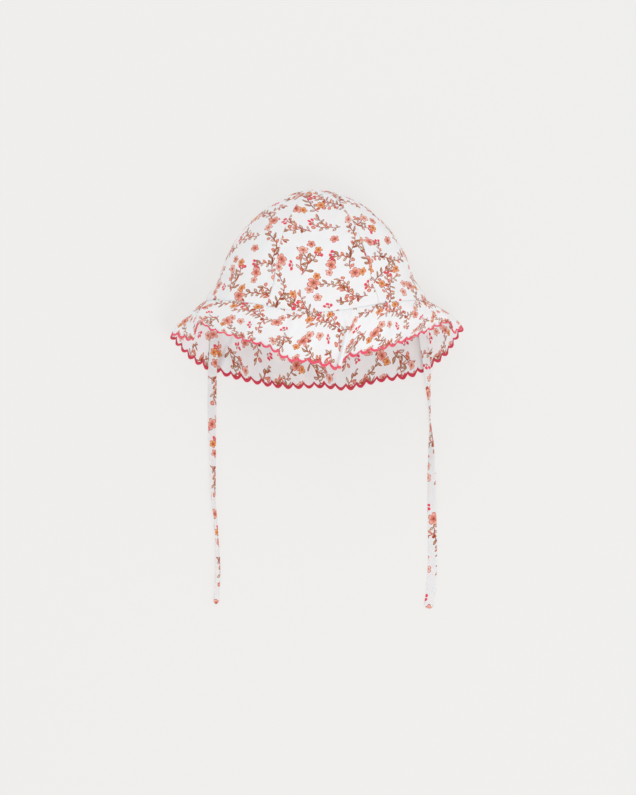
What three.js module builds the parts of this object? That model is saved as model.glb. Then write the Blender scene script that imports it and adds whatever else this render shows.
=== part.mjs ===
// A baby's cotton sun hat that lies on its back: a crown of six gores, a gathered frill for a brim
// with a scalloped edging, and two narrow flat ties. Millimetres, +Z up. The front of the hat faces
// up, the top of the crown points along +Y, and the head goes in from -Y.
//
// Every point of the crown is named by its turn about the crown's axis, in degrees from +X with the
// front at 90 and the back, on the surface, at 270, and by its fall: 0 at the top, 1 at the seam.

import * as THREE from "three";

// Cloth
const WALL = 1.2;
const GAP = 0.3;
const SETTLE = 2; // how far from the surface the cloth begins to flatten against it

// The middle of the hat without its ties, as laid out below. The origin is moved there.
const MIDDLE_OF_HAT = new THREE.Vector3(0.3, -1.6, 0);

// Crown
const TOP_Y = 87;
const SIDE_SEAM_Y = -11;
const FRONT_SEAM_DIP = 11;
const BACK_SEAM_DIP = 25;
const HALF_WIDTH = 88;
const FRONT_DEPTH = 64;
const BACK_DEPTH = 54;
const AXIS_HEIGHT_AT_TOP = 40;
const AXIS_HEIGHT_AT_SEAM = 50;
const ROUNDNESS = 1.85; // exponent of the dome's profile, 2 for an ellipse
const FLARE = 8.8; // how far the sides spread just above the seam
const FLARE_FRONT_SHARE = 0.4;
const FLARE_FROM = 0.78; // share of the crown's drop where the flare begins

// Gores
const FIRST_GORE_SEAM = 56; // degrees of turn, where the front gore begins
const GORES = [
  "gore_front",
  "gore_front_left",
  "gore_back_left",
  "gore_back",
  "gore_back_right",
  "gore_front_right",
];
const GORE_ROWS = 11;
const GORE_COLUMNS = 8;
const GORE_TOP_FALL = 0.014; // the gores' points stop just short of each other

// The crown's soft dents, each a shallow round hollow
const DENTS = [
  { turn: 40, fall: 0.62, width: 15, depth: 2.2 },
  { turn: 62, fall: 0.42, width: 14, depth: 1.4 },
  { turn: 122, fall: 0.8, width: 12, depth: 1.6 },
  { turn: 150, fall: 0.55, width: 16, depth: 1.8 },
];

// Frill. Each row is a fold's crest or hollow on the free edge, and the turn of the seam it hangs from.
const EDGE_FOLDS = [
  { turn: -4, x: 128.5, y: -33, z: 34 },
  { turn: 4, x: 121, y: -37.8, z: 44 },
  { turn: 11, x: 116.6, y: -29.5, z: 54 },
  { turn: 22, x: 99.9, y: -35.6, z: 72 },
  { turn: 33, x: 84, y: -42.7, z: 88 },
  { turn: 45, x: 64.7, y: -50.2, z: 101 },
  { turn: 57, x: 43.6, y: -55.4, z: 111 },
  { turn: 67, x: 25.5, y: -61.2, z: 113 },
  { turn: 73, x: 18.9, y: -69.1, z: 121 },
  { turn: 79, x: 10.1, y: -67.3, z: 114 },
  { turn: 86, x: -4.8, y: -63.8, z: 117 },
  { turn: 95, x: -23.3, y: -62, z: 115 },
  { turn: 106, x: -40, y: -52.4, z: 108 },
  { turn: 119, x: -61.2, y: -45.3, z: 98 },
  { turn: 134, x: -80.5, y: -39.2, z: 86 },
  { turn: 148, x: -94.6, y: -34.5, z: 77 },
  { turn: 156, x: -100.5, y: -28.5, z: 70 },
  { turn: 163, x: -105, y: -34, z: 62 },
  { turn: 170, x: -107.5, y: -44.3, z: 54 },
  { turn: 176, x: -118.5, y: -41.5, z: 43 },
  { turn: 183, x: -128, y: -39.2, z: 32 },
  { turn: 193, x: -120.5, y: -49.2, z: 20 },
  { turn: 203, x: -107.4, y: -61.7, z: 8 },
  { turn: 217, x: -87.6, y: -71.3, z: 0 },
  { turn: 234, x: -54.1, y: -80.6, z: -4 },
  { turn: 252, x: -26.8, y: -84.9, z: -4 },
  { turn: 269, x: 3.1, y: -84.5, z: -4 },
  { turn: 286, x: 28.6, y: -86.2, z: -4 },
  { turn: 302, x: 54.1, y: -79.6, z: -4 },
  { turn: 320, x: 83.2, y: -74.8, z: 0 },
  { turn: 334, x: 102, y: -65.3, z: 8 },
  { turn: 343, x: 114.5, y: -55.5, z: 16 },
  { turn: 350, x: 122.8, y: -42.7, z: 24 },
];
const FRILL_BULGE = 5; // how far the frill bows out between the seam and its edge
const FRILL_ROWS = 4;

// Edging
const SCALLOP_PITCH = 9.4;
const SCALLOP_DEPTH = 1.5;
const EDGING_WIDTH = 1.6;
const EDGING_THICKNESS = 0.9;
const STEPS_PER_SCALLOP = 3;

// Ties, each a flat strip along a route that starts inside the side seam, lies down the inside of
// the frill and then along the surface
const TIE_WIDTH = 8;
const TIE_THICKNESS = 1.2;
const TIE_CORNER = 0.4;
const TIE_STEPS = 44;
const ON_SURFACE = 1.05; // height of a tie's middle where it lies on the surface
const TIE_LEFT_ROUTE = [
  [-90.4, -11.5, 45],
  [-90.5, -17, 36],
  [-90.6, -24, 27.4],
  [-90.8, -31, 21.2],
  [-91, -38, 16.6],
  [-91.2, -46, 12.4],
  [-91.5, -54, 9.2],
  [-91.9, -62, 7],
  [-92.3, -69, 5.6],
  [-92.5, -76, 4.2],
  [-92.7, -83, 2],
  [-92.9, -91, ON_SURFACE],
  [-93, -110, ON_SURFACE],
  [-92.6, -135.4, ON_SURFACE],
  [-92.1, -160.7, ON_SURFACE],
  [-91.2, -191, ON_SURFACE],
  [-89.8, -205.1, ON_SURFACE],
  [-88.1, -231.4, ON_SURFACE],
  [-87.5, -249.6, ON_SURFACE],
  [-88.3, -266.8, ON_SURFACE],
  [-89.4, -279.6, ON_SURFACE],
];
const TIE_RIGHT_ROUTE = [
  [90.4, -11.5, 45],
  [91, -17, 37],
  [91.9, -24, 29],
  [92.9, -31, 24],
  [93.9, -38, 19.8],
  [95, -46, 16],
  [96, -54, 13.2],
  [97.2, -62, 11.4],
  [98.1, -69, 9.8],
  [98.6, -76, 7.6],
  [98.8, -84, 4],
  [99.7, -93, 1.9],
  [100.6, -105.2, ON_SURFACE],
  [101.4, -122.4, ON_SURFACE],
  [102.1, -142.6, ON_SURFACE],
  [102.3, -168.9, ON_SURFACE],
  [102.5, -191.1, ON_SURFACE],
  [103.1, -221.5, ON_SURFACE],
  [103, -246.7, ON_SURFACE],
  [101.7, -266, ON_SURFACE],
  [99.2, -283.9, ON_SURFACE],
];

const COTTON = { color: "#f6f3f3", roughness: 0.9, metalness: 0 };
const EDGING_THREAD = { color: "#e0426a", roughness: 0.7, metalness: 0 };

const radians = THREE.MathUtils.degToRad;

function named(name, geometry, look) {
  const mesh = new THREE.Mesh(geometry, new THREE.MeshStandardMaterial(look));
  mesh.name = name;
  return mesh;
}

// Cloth below the surface comes to lie flat on it, with a soft start.
function settled(point) {
  if (point.z < SETTLE) {
    point.z = point.z > -SETTLE ? (point.z + SETTLE) ** 2 / (4 * SETTLE) : 0;
  }
  return point;
}

function seamY(turn) {
  const rise = Math.sin(radians(turn));
  return SIDE_SEAM_Y - (rise > 0 ? FRONT_SEAM_DIP * rise ** 6 : BACK_SEAM_DIP * rise ** 2);
}

function bareCrownPoint(turn, fall) {
  const angle = (fall * Math.PI) / 2;
  const drop = 1 - Math.cos(angle) ** (2 / ROUNDNESS);
  const spread = Math.sin(angle) ** (2 / ROUNDNESS);
  const across = Math.cos(radians(turn));
  const rise = Math.sin(radians(turn));
  const flare = FLARE * THREE.MathUtils.smoothstep(drop, FLARE_FROM, 1);
  const frontFlare = flare * FLARE_FRONT_SHARE * Math.max(rise, 0);
  const depth = rise > 0 ? FRONT_DEPTH : BACK_DEPTH;
  const axisHeight = THREE.MathUtils.lerp(AXIS_HEIGHT_AT_TOP, AXIS_HEIGHT_AT_SEAM, drop);
  return new THREE.Vector3(
    (HALF_WIDTH * spread + flare) * across,
    THREE.MathUtils.lerp(TOP_Y, seamY(turn), drop),
    axisHeight + depth * spread * rise + frontFlare,
  );
}

function crownPoint(turn, fall) {
  const point = bareCrownPoint(turn, fall);
  for (const dent of DENTS) {
    const middle = bareCrownPoint(dent.turn, dent.fall);
    const away = point.distanceTo(middle) / dent.width;
    const inward = new THREE.Vector3(0, middle.y, AXIS_HEIGHT_AT_SEAM).sub(middle).normalize();
    point.addScaledVector(inward, dent.depth * Math.exp(-away * away));
  }
  return settled(point);
}

// The way out of a surface given by at(u, v), where u runs with the turn and v with the fall
function normalOf(at, u, v, stepU, stepV) {
  const alongU = at(u + stepU, v).sub(at(u - stepU, v));
  const alongV = at(u, v + stepV).sub(at(u, v - stepV));
  return alongU.cross(alongV).normalize();
}

const crownNormal = (turn, fall) => normalOf(crownPoint, turn, Math.min(fall, 0.99), 0.5, 0.01);

// A closed wall of cloth between an outer grid of points and the same grid moved in by the wall.
// outerAt and outwardAt take a row and a column. A wall that wraps joins its last column to its first.
function clothWall(rows, columns, outerAt, outwardAt, wraps) {
  const positions = [];
  const columnCount = wraps ? columns : columns + 1;
  for (let row = 0; row <= rows; row++) {
    for (let column = 0; column < columnCount; column++) {
      const outer = outerAt(row, column);
      const inner = outer.clone().addScaledVector(outwardAt(row, column), -WALL);
      positions.push(...outer.toArray(), ...inner.toArray());
    }
  }
  const outerIndex = (row, column) => 2 * (row * columnCount + (column % columnCount));
  const innerIndex = (row, column) => outerIndex(row, column) + 1;
  const faces = [];
  const addQuad = (a, b, c, d) => faces.push(a, b, c, a, c, d);
  for (let row = 0; row < rows; row++) {
    for (let column = 0; column < columns; column++) {
      const corners = [
        [row, column],
        [row, column + 1],
        [row + 1, column + 1],
        [row + 1, column],
      ];
      addQuad(...corners.map((corner) => outerIndex(...corner)));
      addQuad(...corners.map((corner) => innerIndex(...corner)).reverse());
    }
  }
  const addRim = (fromRow, fromColumn, toRow, toColumn) =>
    addQuad(
      outerIndex(fromRow, fromColumn),
      innerIndex(fromRow, fromColumn),
      innerIndex(toRow, toColumn),
      outerIndex(toRow, toColumn),
    );
  for (let column = 0; column < columns; column++) {
    addRim(0, column, 0, column + 1);
    addRim(rows, column + 1, rows, column);
  }
  for (let row = 0; row < rows && !wraps; row++) {
    addRim(row + 1, 0, row, 0);
    addRim(row, columns, row + 1, columns);
  }
  const geometry = new THREE.BufferGeometry();
  geometry.setAttribute("position", new THREE.Float32BufferAttribute(positions, 3));
  geometry.setIndex(faces);
  geometry.computeVertexNormals();
  return geometry;
}

function goreGeometry(startTurn, endTurn) {
  const fallAt = (row) => THREE.MathUtils.lerp(GORE_TOP_FALL, 1, row / GORE_ROWS);
  const halfGap = (turn, fall) => {
    const perDegree = crownPoint(turn + 0.5, fall).distanceTo(crownPoint(turn - 0.5, fall));
    return GAP / 2 / perDegree;
  };
  const turnAt = (row, column) => {
    const fall = fallAt(row);
    return THREE.MathUtils.lerp(
      startTurn + halfGap(startTurn, fall),
      endTurn - halfGap(endTurn, fall),
      column / GORE_COLUMNS,
    );
  };
  return clothWall(
    GORE_ROWS,
    GORE_COLUMNS,
    (row, column) => crownPoint(turnAt(row, column), fallAt(row)),
    (row, column) => crownNormal(turnAt(row, column), fallAt(row)),
    false,
  );
}

const edgeCurve = new THREE.CatmullRomCurve3(
  EDGE_FOLDS.map((fold) => new THREE.Vector3(fold.x, fold.y, fold.z)),
  true,
);

// The turn of the seam above a place on the edge, counted in folds from the first row
function turnAtFold(place) {
  const count = EDGE_FOLDS.length;
  const whole = Math.floor(place);
  const before = EDGE_FOLDS[((whole % count) + count) % count].turn;
  const after = EDGE_FOLDS[(((whole + 1) % count) + count) % count].turn;
  return before + (place - whole) * ((((after - before) % 360) + 360) % 360);
}

// The frill's outer face: place counts folds along the edge, and reach is 0 at the seam and 1 at the edge.
function frillPoint(place, reach) {
  const turn = turnAtFold(place);
  const seam = crownPoint(turn, 1);
  const intoFrill = seam.clone().sub(crownPoint(turn, 0.98)).setLength(GAP);
  const count = EDGE_FOLDS.length;
  const edge = edgeCurve.getPoint((((place / count) % 1) + 1) % 1);
  const bow = FRILL_BULGE * 4 * reach * (1 - reach);
  return settled(
    seam
      .add(intoFrill)
      .lerp(edge, reach)
      .add(new THREE.Vector3(bow * Math.cos(radians(turn)), 0, bow * Math.sin(radians(turn)))),
  );
}

function frillNormal(place, reach) {
  if (reach === 0) return crownNormal(turnAtFold(place), 1);
  return normalOf(frillPoint, place, Math.min(reach, 0.98), 0.05, 0.02);
}

// The frill and its edging share their stations, evenly spaced along the edge
const SCALLOPS = Math.round(edgeCurve.getLength() / SCALLOP_PITCH);
const STATIONS = SCALLOPS * STEPS_PER_SCALLOP;

function placeAt(station) {
  const share = (((station % STATIONS) + STATIONS) % STATIONS) / STATIONS;
  return edgeCurve.getUtoTmapping(share) * EDGE_FOLDS.length;
}

function frillGeometry() {
  return clothWall(
    FRILL_ROWS,
    STATIONS,
    (row, station) => frillPoint(placeAt(station), row / FRILL_ROWS),
    (row, station) => frillNormal(placeAt(station), row / FRILL_ROWS),
    true,
  );
}

// A flat band round the frill's edge, in the middle of the wall, straight inside and scalloped outside
function edgingGeometry() {
  const positions = [];
  for (let station = 0; station < STATIONS; station++) {
    const place = placeAt(station);
    const rim = frillPoint(place, 1);
    const normal = frillNormal(place, 1);
    const along = frillPoint(placeAt(station + 1), 1).sub(frillPoint(placeAt(station - 1), 1));
    const outward = along.cross(normal).normalize().negate();
    const bulge = Math.abs(Math.sin((Math.PI * station) / STEPS_PER_SCALLOP));
    const width = EDGING_WIDTH + SCALLOP_DEPTH * bulge;
    const faceDepths = [WALL + EDGING_THICKNESS, WALL - EDGING_THICKNESS].map((depth) => -depth / 2);
    for (const [reach, depth] of [
      [GAP, faceDepths[0]],
      [GAP, faceDepths[1]],
      [GAP + width, faceDepths[1]],
      [GAP + width, faceDepths[0]],
    ]) {
      const corner = rim.clone().addScaledVector(outward, reach).addScaledVector(normal, depth);
      positions.push(...corner.toArray());
    }
  }
  const faces = [];
  for (let station = 0; station < STATIONS; station++) {
    const here = 4 * station;
    const next = 4 * ((station + 1) % STATIONS);
    for (let side = 0; side < 4; side++) {
      const other = (side + 1) % 4;
      faces.push(here + side, next + side, next + other, here + side, next + other, here + other);
    }
  }
  const geometry = new THREE.BufferGeometry();
  geometry.setAttribute("position", new THREE.Float32BufferAttribute(positions, 3));
  geometry.setIndex(faces);
  geometry.computeVertexNormals();
  return geometry;
}

function tieGeometry(route) {
  const halfWidth = TIE_WIDTH / 2;
  const halfThickness = TIE_THICKNESS / 2;
  const section = new THREE.Shape();
  const corners = [
    [halfWidth, halfThickness - TIE_CORNER],
    [halfWidth - TIE_CORNER, halfThickness],
    [TIE_CORNER - halfWidth, halfThickness],
    [-halfWidth, halfThickness - TIE_CORNER],
    [-halfWidth, TIE_CORNER - halfThickness],
    [TIE_CORNER - halfWidth, -halfThickness],
    [halfWidth - TIE_CORNER, -halfThickness],
    [halfWidth, TIE_CORNER - halfThickness],
  ];
  section.setFromPoints(corners.map(([across, up]) => new THREE.Vector2(across, up)));
  const curve = new THREE.CatmullRomCurve3(route.map((point) => new THREE.Vector3(...point)));
  return new THREE.ExtrudeGeometry(section, { steps: TIE_STEPS, extrudePath: curve });
}

const hat = new THREE.Group();
hat.position.copy(MIDDLE_OF_HAT).negate();
const goreAngle = 360 / GORES.length;
GORES.forEach((name, index) => {
  const startTurn = FIRST_GORE_SEAM + index * goreAngle;
  hat.add(named(name, goreGeometry(startTurn, startTurn + goreAngle), COTTON));
});
hat.add(named("frill_brim", frillGeometry(), COTTON));
hat.add(named("scalloped_edging", edgingGeometry(), EDGING_THREAD));
hat.add(named("tie_left", tieGeometry(TIE_LEFT_ROUTE), COTTON));
hat.add(named("tie_right", tieGeometry(TIE_RIGHT_ROUTE), COTTON));

export default hat;
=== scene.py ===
import functools
import math

import bpy
import numpy as np
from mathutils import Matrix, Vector, noise


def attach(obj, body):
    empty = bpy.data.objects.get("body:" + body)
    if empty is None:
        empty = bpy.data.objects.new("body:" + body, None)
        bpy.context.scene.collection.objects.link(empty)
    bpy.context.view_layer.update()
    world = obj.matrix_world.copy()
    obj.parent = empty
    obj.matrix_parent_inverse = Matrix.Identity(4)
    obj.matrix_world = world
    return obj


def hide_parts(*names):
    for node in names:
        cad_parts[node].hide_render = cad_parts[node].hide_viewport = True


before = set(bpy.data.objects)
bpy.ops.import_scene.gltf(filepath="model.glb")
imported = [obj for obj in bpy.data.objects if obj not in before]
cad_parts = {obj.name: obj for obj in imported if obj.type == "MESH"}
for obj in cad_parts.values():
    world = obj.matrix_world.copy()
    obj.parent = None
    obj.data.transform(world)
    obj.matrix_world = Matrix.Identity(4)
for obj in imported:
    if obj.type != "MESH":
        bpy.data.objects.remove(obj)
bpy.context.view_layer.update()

MM = 0.001

# The frame's origin is under the middle of the hat. The sizes below are laid out from the crown's axis.
MIDDLE_OF_HAT = np.array([0.3, -1.6, 0]) * MM

# Camera, straight above the photo's middle
CAMERA_AT = (1 * MM, -94.3 * MM)
CAMERA_DISTANCE = 4.0
FOCUS_HEIGHT = 45 * MM
PICTURE_HEIGHT = 699.6 * MM  # what the picture takes in at that height
SENSOR = 36  # millimetres

# Floor: a dull grey that glows, so that shadows on it stay pale
FLOOR_REACH = 3.0
FLOOR_Z = -0.1 * MM
FLOOR_COLOUR = (0.22, 0.218, 0.213, 1)
FLOOR_GLOW = (1, 0.99, 0.972, 1)
FLOOR_GLOW_STRENGTH = 0.64

# Lights: the sky's strength, then each lamp's name, place, power in watts and size
WORLD_STRENGTH = 0.81
LIGHTS = (
    ("key", (0.6, -0.8, 1.8), 8.5, 0.7),
    ("fill", (-0.4, 1.2, 1.5), 3.5, 1.2),
)
LIGHTS_AIM = (0, 0, 0.03)

# Crown, as in the frame's solids
SETTLE = 2 * MM
TOP_Y = 87 * MM
SIDE_SEAM_Y = -11 * MM
FRONT_SEAM_DIP = 11 * MM
BACK_SEAM_DIP = 25 * MM
HALF_WIDTH = 88 * MM
FRONT_DEPTH = 64 * MM
BACK_DEPTH = 54 * MM
AXIS_HEIGHT_AT_TOP = 40 * MM
AXIS_HEIGHT_AT_SEAM = 50 * MM
ROUNDNESS = 1.85
FLARE = 8.8 * MM
FLARE_FRONT_SHARE = 0.4
FLARE_FROM = 0.78

# Gores
FIRST_GORE_SEAM = 56
GORES = (
    "gore_front",
    "gore_front_left",
    "gore_back_left",
    "gore_back",
    "gore_back_right",
    "gore_front_right",
)
GORE_GRAINS = (36, 65, -40, 20, 50, -55)  # how far the print is turned on each gore, in degrees
GORE_ANGLE = 360 / len(GORES)
GORE_ROWS = 110
GORE_COLUMNS = 64
GORE_TOP = 0.004  # the fall at which the gores start, just short of the point that they run to
GORE_CROWDING = 0.045  # how much closer together the columns are beside the seams
CLOTH = 0.6 * MM

# The soft welt beside a seam: how fast it rises, between which distances it sinks, and its heights
WELT_RISE = 0.8 * MM
WELT_SINKS = (2.5 * MM, 8 * MM)
GORE_WELT = 0.19 * MM
HEM_WELT = 0.11 * MM
FRILL_WELT = 0.1 * MM

# Puckers and gathers of the welts, and the creases of the crown: how far apart and how strong
PUCKER_CELL = 4.5 * MM
PUCKER = 0.8
HEM_GATHER_CELL = 5 * MM
HEM_GATHER_RADIUS = 0.08  # metres, about the crown's at its hem
HEM_GATHER_STRETCH = 0.15
HEM_GATHER = 2
CREASE_CELL = 34 * MM
CREASE = 0.9
FINE_CREASE_CELL = 13 * MM
FINE_CREASE = 0.3
CREASE_START = 12 * MM

# Soft dents of the crown: turn, fall, width and depth
DENTS = (
    (40, 0.62, 15, 2.2),
    (62, 0.42, 14, 1.4),
    (122, 0.80, 12, 1.6),
    (150, 0.55, 16, 1.8),
)

# Folds of the frill's edge: turn of the seam above, then x, y and z in millimetres
EDGE_FOLDS = (
    (-4, 128.5, -33, 34),
    (4, 121, -37.8, 44),
    (11, 116.6, -29.5, 54),
    (22, 99.9, -35.6, 72),
    (33, 84, -42.7, 88),
    (45, 64.7, -50.2, 101),
    (57, 43.6, -55.4, 111),
    (67, 25.5, -61.2, 113),
    (73, 18.9, -69.1, 121),
    (79, 10.1, -67.3, 114),
    (86, -4.8, -63.8, 117),
    (95, -23.3, -62, 115),
    (106, -40, -52.4, 108),
    (119, -61.2, -45.3, 98),
    (134, -80.5, -39.2, 86),
    (148, -94.6, -34.5, 77),
    (156, -100.5, -28.5, 70),
    (163, -105, -34, 62),
    (170, -107.5, -44.3, 54),
    (176, -118.5, -41.5, 43),
    (183, -128, -39.2, 32),
    (193, -120.5, -49.2, 20),
    (203, -107.4, -61.7, 8),
    (217, -87.6, -71.3, 0),
    (234, -54.1, -80.6, -4),
    (252, -26.8, -84.9, -4),
    (269, 3.1, -84.5, -4),
    (286, 28.6, -86.2, -4),
    (302, 54.1, -79.6, -4),
    (320, 83.2, -74.8, 0),
    (334, 102, -65.3, 8),
    (343, 114.5, -55.5, 16),
    (350, 122.8, -42.7, 24),
)
FRILL_WIDTH = 48 * MM
FRILL_BULGE = 5 * MM
FRILL_ROWS = 44
FRILL_ROW_CROWDING = 1.1  # above 1, the rows are closer together beside the seam
FRILL_COLUMNS = 1100
EDGE_SAMPLES = 6001  # points at which the length of the frill's edge is measured
FRILL_FULLNESS = 1.09  # how much longer the cloth is than the edge, taken up by the gathers
FRILL_CUT = 60  # where on the printed cloth the frill was cut, in millimetres
HEM_BAND_FALL = 0.985  # the frill starts off in line with the crown between this fall and its hem

# The frill's gathers below its seam, its broad waves and its creases: how far apart, how high, the reach
# from the seam over which the gathers fade and the others come up, and how fast they change on the way
GATHER_CELL = 3.6 * MM
GATHER_SHARPNESS = 2.6
GATHER_HEIGHT = 1.1 * MM
GATHER_START = 1.5 * MM
GATHER_REACH = 0.2
GATHER_DRIFT = 0.01
BROAD_CELL = 15 * MM
BROAD_HEIGHT = 1.6 * MM
BROAD_REACH = 0.5
BROAD_DRIFT = 0.012
FRILL_CREASE_CELL = 12 * MM
FRILL_CREASE_HEIGHT = 0.5 * MM
FRILL_CREASE_REACH = 0.2

# Where the frill lies on the floor: the heights between which it stops lying, and its ripples there
LYING = (1 * MM, 9 * MM)
RIPPLE = 3.5 * MM
RIPPLE_CELL = 7 * MM
RIPPLE_REACH = 0.15
RIPPLE_DRIFT = 0.02

# Single folds of the frill: turn, width in degrees, rise in millimetres, and the reaches between which
# the fold comes up
FOLDS = (
    (72.6, 1.3, 2.8, 0.05, 0.5),
    (69.4, 1.5, -2.2, 0.05, 0.4),
    (75.9, 1.5, -1.8, 0.05, 0.5),
    (99.0, 2.4, 1.1, 0.0, 0.2),
    (128.0, 2.0, 0.8, 0.0, 0.3),
    (52.0, 2.2, 0.9, 0.0, 0.3),
)
SEAM_ALLOWANCE = 6 * MM
ALLOWANCE_EDGE = 0.5 * MM
ALLOWANCE_STARTS = (14 * MM, 15 * MM)  # how far below the top of a gore its side allowance starts
SEAM_PLIES = 0.5 * MM  # how much thicker the cloth is where its allowance is folded back inside

# Edging
SCALLOP_PITCH = 9.4 * MM
SCALLOP_DEPTH = 3.7 * MM
SCALLOP_ROUNDNESS = 0.85
EDGING_WIDTH = 3.0 * MM
EDGING_THICKNESS = 1.4 * MM
EDGING_SIDES = 10
EDGING_STEPS = 1704
EDGING_UV_STEP = 0.5
EDGING_OVERLAP = 0.4  # the share of the edging's width by which the cloth ends short of its middle

# Ties. A row of a route is x, y and z, in millimetres. A row of a lie is the share of the length, the
# strip's width in millimetres and its roll in degrees. The cut is where on the printed cloth it was cut.
TIE_WIDTH = 8 * MM
TIE_THICKNESS = 1.1 * MM
TIE_RINGS = 320
TIE_SAMPLES = 4001  # points at which the length of a tie is measured
TIE_SIDES = 20
TIE_END_ROUND = 2.2 * MM  # how far from its ends a tie narrows
TIE_END_SHARE = 0.04  # square of the share of its width that is left at the very end
TIE_CLEARANCE = 0.1 * MM
TIE_WOBBLE = 0.07  # how much a tie's width wanders
TIE_WOBBLE_CELL = 16 * MM
ON_SURFACE = 0.8
TIES = {
    "left": {
        "cut": (8, 17),
        "seed": 3,
        "route": (
            (-90.4, -11.5, 45),
            (-90.5, -17, 36),
            (-90.6, -24, 27.4),
            (-90.8, -31, 21.2),
            (-91, -38, 16.6),
            (-91.2, -46, 12.4),
            (-91.5, -54, 9.2),
            (-91.9, -62, 7),
            (-92.3, -69, 5.6),
            (-92.5, -76, 4.2),
            (-92.7, -83, 2),
            (-92.9, -91, ON_SURFACE),
            (-93, -110, ON_SURFACE),
            (-92.6, -135.4, ON_SURFACE),
            (-92.1, -160.7, ON_SURFACE),
            (-91.2, -191, ON_SURFACE),
            (-89.8, -205.1, ON_SURFACE),
            (-88.1, -231.4, ON_SURFACE),
            (-87.5, -249.6, ON_SURFACE),
            (-88.3, -266.8, ON_SURFACE),
            (-89.4, -279.6, ON_SURFACE),
        ),
        "lie": (
            (0.00, 8.0, -25),
            (0.15, 8.0, -25),
            (0.27, 8.0, -4),
            (0.40, 7.6, 6),
            (0.52, 6.4, 25),
            (0.62, 5.6, 45),
            (0.70, 5.0, 56),
            (0.80, 4.6, 60),
            (0.90, 4.8, 45),
            (1.00, 5.2, 30),
        ),
    },
    "right": {
        "cut": (33, 40),
        "seed": 8,
        "route": (
            (90.4, -11.5, 45),
            (91, -17, 37),
            (91.9, -24, 29),
            (92.9, -31, 24),
            (93.9, -38, 19.8),
            (95, -46, 16),
            (96, -54, 13.2),
            (97.2, -62, 11.4),
            (98.1, -69, 9.8),
            (98.6, -76, 7.6),
            (98.8, -84, 4),
            (99.7, -93, 1.6),
            (100.6, -105.2, ON_SURFACE),
            (101.4, -122.4, ON_SURFACE),
            (102.1, -142.6, ON_SURFACE),
            (102.3, -168.9, ON_SURFACE),
            (102.5, -191.1, ON_SURFACE),
            (103.1, -221.5, ON_SURFACE),
            (103, -246.7, ON_SURFACE),
            (101.7, -266, ON_SURFACE),
            (99.2, -283.9, ON_SURFACE),
        ),
        "lie": (
            (0.00, 8.0, 25),
            (0.15, 8.0, 25),
            (0.26, 7.0, 25),
            (0.33, 5.6, 50),
            (0.41, 5.0, 90),
            (0.48, 6.2, 130),
            (0.58, 7.4, 160),
            (0.70, 8.2, 176),
            (0.88, 8.2, 180),
            (1.00, 8.4, 184),
        ),
    },
}


def smoothstep(value, low, high):
    share = np.clip((value - low) / (high - low), 0, 1)
    return share * share * (3 - 2 * share)


def unit(vectors):
    return vectors / np.maximum(np.linalg.norm(vectors, axis=-1, keepdims=True), 1e-12)


def noise_at(points, cell, seed):
    """Smooth noise from -1 to 1 at each point, with lumps about a cell wide."""
    shift = Vector((seed * 13.7, seed * 5.1, seed * 9.3))
    flat = (points / cell).reshape(-1, points.shape[-1])
    if flat.shape[1] == 2:
        flat = np.column_stack((flat, np.zeros(len(flat))))
    values = [noise.noise(Vector(p) + shift) for p in flat]
    return np.array(values).reshape(points.shape[:-1])


# Shapes

def settled(points):
    """Cloth below the surface comes to lie flat on it, with a soft start."""
    z = points[..., 2]
    soft = np.where(z > -SETTLE, (z + SETTLE) ** 2 / (4 * SETTLE), 0)
    points[..., 2] = np.where(z > SETTLE, z, soft)
    return points


def bare_crown(turn, fall):
    """The crown's smooth outer face at a turn about its axis, in degrees, and a fall from its top."""
    angle = fall * math.pi / 2
    drop = 1 - np.clip(np.cos(angle), 0, 1) ** (2 / ROUNDNESS)
    spread = np.clip(np.sin(angle), 0, 1) ** (2 / ROUNDNESS)
    across, rise = np.cos(np.radians(turn)), np.sin(np.radians(turn))
    flare = FLARE * smoothstep(drop, FLARE_FROM, 1)
    depth = np.where(rise > 0, FRONT_DEPTH, BACK_DEPTH)
    seam_y = SIDE_SEAM_Y - np.where(rise > 0, FRONT_SEAM_DIP * rise**6, BACK_SEAM_DIP * rise**2)
    axis_height = AXIS_HEIGHT_AT_TOP + (AXIS_HEIGHT_AT_SEAM - AXIS_HEIGHT_AT_TOP) * drop
    return np.stack(
        (
            (HALF_WIDTH * spread + flare) * across,
            TOP_Y + (seam_y - TOP_Y) * drop,
            axis_height + depth * spread * rise + flare * FLARE_FRONT_SHARE * np.maximum(rise, 0),
        ),
        axis=-1,
    )


def crown(turn, fall):
    points = bare_crown(turn, fall)
    for dent_turn, dent_fall, width, depth in DENTS:
        middle = bare_crown(np.array(dent_turn), np.array(dent_fall))
        away = np.linalg.norm(points - middle, axis=-1) / (width * MM)
        inward = unit(np.array([0, middle[1], AXIS_HEIGHT_AT_SEAM]) - middle)
        points = points + (depth * MM * np.exp(-(away**2)))[..., None] * inward
    return settled(points)


def grid_normals(points, wraps):
    """The outward direction at each point of a grid, with a row for each fall and a column for each turn."""
    if wraps:
        along = np.roll(points, -1, axis=1) - np.roll(points, 1, axis=1)
    else:
        along = np.gradient(points, axis=1)
    return unit(np.cross(along, np.gradient(points, axis=0)))


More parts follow.
